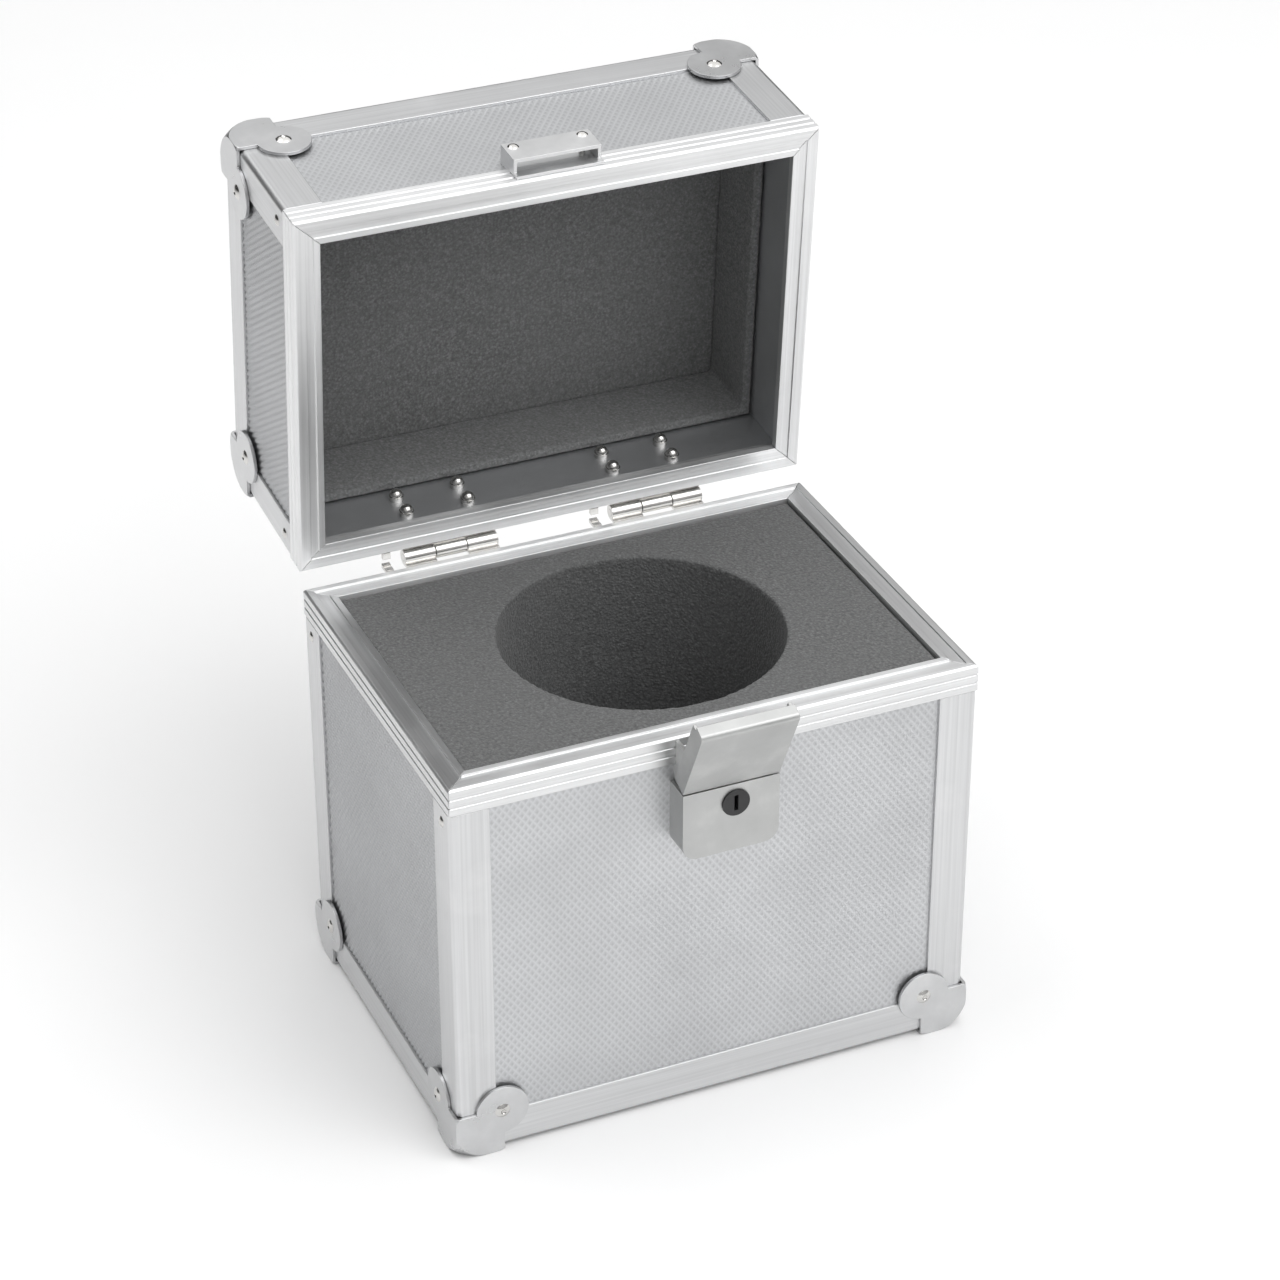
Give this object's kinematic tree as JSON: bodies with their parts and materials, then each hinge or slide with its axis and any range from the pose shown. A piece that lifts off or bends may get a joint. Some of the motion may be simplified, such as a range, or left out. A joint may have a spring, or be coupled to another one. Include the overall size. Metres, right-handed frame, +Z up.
{
  "type": "hinged aluminium carrying case",
  "caption": "Aluminium-framed carrying case with hinged lid, lockable flap latch, folding handle and a foam block with a round recess.",
  "frame": {"origin": "centre of the case's footprint, on the plane that the bottom corner guards stand on", "axes": "+X to the right, -Y to the front with the latch, +Z up"},
  "size_m": [0.2148, 0.2634, 0.3304],
  "materials": {
    "panel": "embossed, satin",
    "rim": "bright drawn",
    "profile": "anodised, drawn",
    "fittings": "nickel-plated",
    "foam": "open-cell foam, matte",
    "lock": "black, satin",
    "grip": "black, fine grain"
  },
  "bodies": {
    "base": {"front_panel": "panel", "back_panel": "panel", "left_panel": "panel", "right_panel": "panel", "bottom_panel": "panel", "base_rim_front": "rim", "base_rim_back": "rim", "base_rim_left": "rim", "base_rim_right": "rim", "base_post_front_left": "profile", "base_post_front_right": "profile", "base_post_back_left": "profile", "base_post_back_right": "profile", "base_edge_front": "profile", "base_edge_back": "profile", "base_edge_left": "profile", "base_edge_right": "profile", "base_corner_guards": "fittings", "base_rivets": "fittings", "foam_block": "foam", "foam_floor_pad": "foam", "hinge_base_leaf_left": "fittings", "hinge_base_leaf_right": "fittings", "hinge_pins": "fittings", "hinge_base_screws": "fittings", "latch_body": "fittings", "latch_backplate": "fittings", "latch_rivets": "fittings", "latch_pin": "fittings"},
    "flap": {"latch_flap": "fittings"},
    "lock": {"lock_cylinder": "lock", "lock_cam": "fittings"},
    "lid": {"lid_front_panel": "panel", "lid_back_panel": "panel", "lid_left_panel": "panel", "lid_right_panel": "panel", "lid_top_panel": "panel", "lid_rim_front": "rim", "lid_rim_back": "rim", "lid_rim_left": "rim", "lid_rim_right": "rim", "lid_post_front_left": "profile", "lid_post_front_right": "profile", "lid_post_back_left": "profile", "lid_post_back_right": "profile", "lid_edge_front": "profile", "lid_edge_back": "profile", "lid_edge_left": "profile", "lid_edge_right": "profile", "lid_corner_guards": "fittings", "lid_rivets": "fittings", "lid_foam_pad": "foam", "lid_foam_strips": "foam", "hinge_lid_leaf_left": "fittings", "hinge_lid_leaf_right": "fittings", "hinge_lid_screws": "fittings", "catch_plate": "fittings", "handle_brackets": "fittings", "handle_pins": "fittings"},
    "handle": {"handle_grip": "grip"}
  },
  "joints": [
    {"name": "lid_hinge", "type": "hinge", "parent": "base", "child": "lid", "pos_m": [0, 0.0802, 0.1662], "axis": [1, 0, 0], "range_deg": [0, 85.4]},
    {"name": "latch_hinge", "type": "hinge", "parent": "base", "child": "flap", "pos_m": [0, -0.0835, 0.1474], "axis": [-1, 0, 0], "range_deg": [0, 26]},
    {"name": "lock_turn", "type": "hinge", "parent": "base", "child": "lock", "pos_m": [0.0016, -0.0865, 0.1381], "axis": [0, 1, 0], "range_deg": [0, 90]},
    {"name": "handle_hinge", "type": "hinge", "parent": "lid", "child": "handle", "pos_m": [0, 0.15391, 0.25259], "axis": [1, 0, 0], "range_deg": [0, 180]}
  ]
}
